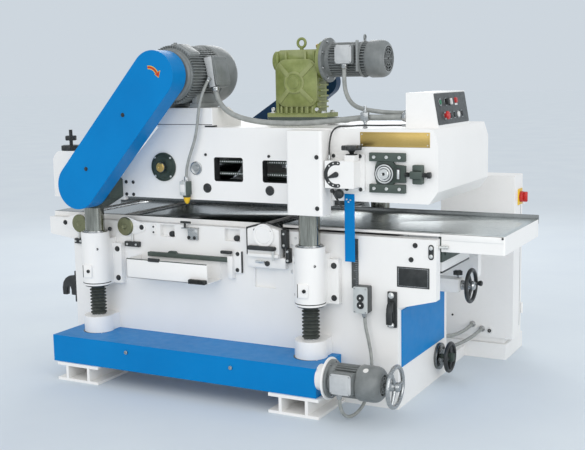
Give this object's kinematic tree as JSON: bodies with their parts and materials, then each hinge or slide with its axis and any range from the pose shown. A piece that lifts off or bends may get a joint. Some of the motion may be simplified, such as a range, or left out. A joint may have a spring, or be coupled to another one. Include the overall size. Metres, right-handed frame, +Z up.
{
  "type": "double-sided planer",
  "caption": "Floor-standing double-sided wood planer: long steel table, lower cutterhead in the base, and a head on corner columns with the belt-driven upper cutterhead and the feed track.",
  "frame": {"origin": "on the floor, midway between the left and right columns and midway between front and rear", "axes": "+X along the table towards the infeed end, +Y from the front to the rear, +Z up"},
  "size_m": [2.593, 1.707, 1.783],
  "materials": {
    "white_paint": "gloss",
    "blue_paint": "gloss",
    "motor_grey": "satin",
    "reducer_green": "satin",
    "dark_casting": "satin",
    "bright_steel": "polished",
    "table_steel": "polished",
    "rubber_black": "matt",
    "black_plastic": "satin",
    "red_plastic": "gloss",
    "green_plastic": "gloss",
    "conduit_grey": "satin"
  },
  "bodies": {
    "base": {"base_frame": "white_paint", "feet": "white_paint", "gear_housings": "white_paint", "column_sleeves": "white_paint", "tool_tray": "white_paint", "electrical_cabinet": "white_paint", "push_button_box": "white_paint", "base_fittings": "white_paint", "lower_spindle_housings": "white_paint", "base_end_panel": "blue_paint", "lift_guards": "blue_paint", "lift_motor": "motor_grey", "lower_motor": "motor_grey", "bed_roller_caps": "reducer_green", "outfeed_table": "table_steel", "screw_bellows": "rubber_black", "base_conduits": "conduit_grey"},
    "head": {"head_side_plates": "white_paint", "head_top_cover": "white_paint", "infeed_hood": "white_paint", "outfeed_hood": "white_paint", "right_column_brackets": "white_paint", "left_column_brackets": "dark_casting", "columns": "bright_steel", "main_motor": "motor_grey", "belt_guard": "blue_paint", "drive_belt_and_chain": "rubber_black", "chain_guard": "blue_paint", "worm_reducer": "reducer_green", "feed_motor": "motor_grey", "track_pads": "dark_casting", "track_bearings": "dark_casting", "control_box": "white_paint", "gauge_box": "white_paint", "limit_switch": "black_plastic", "hanging_strip": "blue_paint", "head_conduits": "conduit_grey"},
    "lift_handwheel": {"lift_handwheel": "bright_steel"},
    "upper_cutterhead": {"upper_cutterhead": "bright_steel"},
    "main_motor_rotor": {"main_motor_rotor": "bright_steel"},
    "lower_cutterhead": {"lower_cutterhead": "bright_steel"},
    "reducer_shaft": {"reducer_shaft": "bright_steel"},
    "track_drive_shaft": {"track_drive_shaft": "bright_steel"},
    "takeup_bearings": {"takeup_bearings": "dark_casting"},
    "track_idler": {"track_idler": "bright_steel"},
    "takeup_screw": {"takeup_screw": "bright_steel"},
    "gauge_pointer": {"gauge_pointer": "black_plastic"},
    "star_knob": {"star_knob": "black_plastic"},
    "ball_lever": {"ball_lever": "black_plastic"},
    "start_button": {"start_button": "green_plastic"},
    "stop_button": {"stop_button": "red_plastic"},
    "selector_switch": {"selector_switch": "black_plastic"},
    "up_button": {"up_button": "green_plastic"},
    "down_button": {"down_button": "black_plastic"},
    "isolator_knob": {"isolator_knob": "red_plastic"},
    "infeed_table": {"infeed_table": "table_steel"},
    "table_handwheel": {"table_handwheel": "black_plastic"},
    "tension_handwheel": {"tension_handwheel": "black_plastic"},
    "bed_roller_left": {"bed_roller_left": "bright_steel"},
    "bed_roller_right": {"bed_roller_right": "bright_steel"}
  },
  "joints": [
    {"name": "head_lift", "type": "slide", "parent": "base", "child": "head", "axis": [0, 0, 1], "range_m": [-0.093, 0.055]},
    {"name": "lift_wheel_turn", "type": "hinge", "parent": "base", "child": "lift_handwheel", "pos_m": [1.138, -0.575, 0.19], "axis": [1, 0, 0], "range_deg": [-6696, 3960]},
    {"name": "gauge_pointer_turn", "type": "hinge", "parent": "head", "child": "gauge_pointer", "pos_m": [0.806, -0.47, 1.133], "axis": [0, 1, 0], "range_deg": [-95, 53]},
    {"name": "upper_cutter_spin", "type": "hinge", "parent": "head", "child": "upper_cutterhead", "pos_m": [-0.612, 0, 1.045], "axis": [0, 1, 0], "continuous": true},
    {"name": "main_motor_spin", "type": "hinge", "parent": "head", "child": "main_motor_rotor", "pos_m": [-0.11, -0.3, 1.603], "axis": [0, 1, 0], "continuous": true},
    {"name": "lower_cutter_spin", "type": "hinge", "parent": "base", "child": "lower_cutterhead", "pos_m": [0.372, 0, 0.812], "axis": [0, 1, 0], "continuous": true},
    {"name": "reducer_spin", "type": "hinge", "parent": "head", "child": "reducer_shaft", "pos_m": [0.394, 0.2, 1.553], "axis": [0, 1, 0], "continuous": true},
    {"name": "track_drive_spin", "type": "hinge", "parent": "head", "child": "track_drive_shaft", "pos_m": [-0.22, 0, 1.135], "axis": [0, 1, 0], "continuous": true},
    {"name": "takeup_slide", "type": "slide", "parent": "head", "child": "takeup_bearings", "axis": [1, 0, 0], "range_m": [-0.02, 0]},
    {"name": "track_idler_spin", "type": "hinge", "parent": "takeup_bearings", "child": "track_idler", "pos_m": [1.016, 0, 1.135], "axis": [0, 1, 0], "continuous": true},
    {"name": "takeup_screw_turn", "type": "hinge", "parent": "takeup_bearings", "child": "takeup_screw", "pos_m": [1.15, -0.4, 1.135], "axis": [1, 0, 0], "range_deg": [-1800, 0]},
    {"name": "star_knob_turn", "type": "hinge", "parent": "head", "child": "star_knob", "pos_m": [0.868, -0.432, 1.25], "axis": [0, 0, 1], "range_deg": [-270, 0]},
    {"name": "ball_lever_turn", "type": "hinge", "parent": "head", "child": "ball_lever", "pos_m": [0.778, -0.455, 1.055], "axis": [0, 1, 0], "range_deg": [0, 40]},
    {"name": "start_press", "type": "slide", "parent": "head", "child": "start_button", "axis": [-0.9845, 0, -0.1752], "range_m": [0, 0.004], "stiffness_N_per_m": 800},
    {"name": "stop_press", "type": "slide", "parent": "head", "child": "stop_button", "axis": [-0.9845, 0, -0.1752], "range_m": [0, 0.006], "stiffness_N_per_m": 800},
    {"name": "selector_turn", "type": "hinge", "parent": "head", "child": "selector_switch", "pos_m": [1.22133, -0.156, 1.45518], "axis": [0.9845, 0, 0.1752], "range_deg": [-45, 45]},
    {"name": "up_press", "type": "slide", "parent": "base", "child": "up_button", "axis": [0, 1, 0], "range_m": [0, 0.005], "stiffness_N_per_m": 800},
    {"name": "down_press", "type": "slide", "parent": "base", "child": "down_button", "axis": [0, 1, 0], "range_m": [0, 0.005], "stiffness_N_per_m": 800},
    {"name": "isolator_turn", "type": "hinge", "parent": "base", "child": "isolator_knob", "pos_m": [1.34, 0.79, 0.908], "axis": [1, 0, 0], "range_deg": [0, 90]},
    {"name": "infeed_table_lift", "type": "slide", "parent": "base", "child": "infeed_table", "axis": [0, 0, 1], "range_m": [-0.008, 0.002]},
    {"name": "table_wheel_turn", "type": "hinge", "parent": "base", "child": "table_handwheel", "pos_m": [1.29, 0.045, 0.549], "axis": [1, 0, 0], "range_deg": [-1440, 360]},
    {"name": "tension_wheel_turn", "type": "hinge", "parent": "base", "child": "tension_handwheel", "pos_m": [1.125, 0.215, 0.122], "axis": [1, 0, 0], "range_deg": [-720, 720]},
    {"name": "bed_roller_left_spin", "type": "hinge", "parent": "base", "child": "bed_roller_left", "pos_m": [-0.816, 0, 0.805], "axis": [0, 1, 0], "continuous": true},
    {"name": "bed_roller_right_spin", "type": "hinge", "parent": "base", "child": "bed_roller_right", "pos_m": [-0.505, 0, 0.805], "axis": [0, 1, 0], "continuous": true}
  ],
  "couplings": [
    {"joint": "lift_wheel_turn", "follows": "head_lift", "rad_per_m": 1256.6},
    {"joint": "gauge_pointer_turn", "follows": "head_lift", "rad_per_m": 16.46},
    {"joint": "main_motor_spin", "follows": "upper_cutter_spin", "ratio": 0.61111},
    {"joint": "track_drive_spin", "follows": "reducer_spin", "ratio": 0.6},
    {"joint": "track_idler_spin", "follows": "reducer_spin", "ratio": 0.6},
    {"joint": "takeup_screw_turn", "follows": "takeup_slide", "rad_per_m": 1570.8},
    {"joint": "table_wheel_turn", "follows": "infeed_table_lift", "rad_per_m": 3141.6}
  ]
}
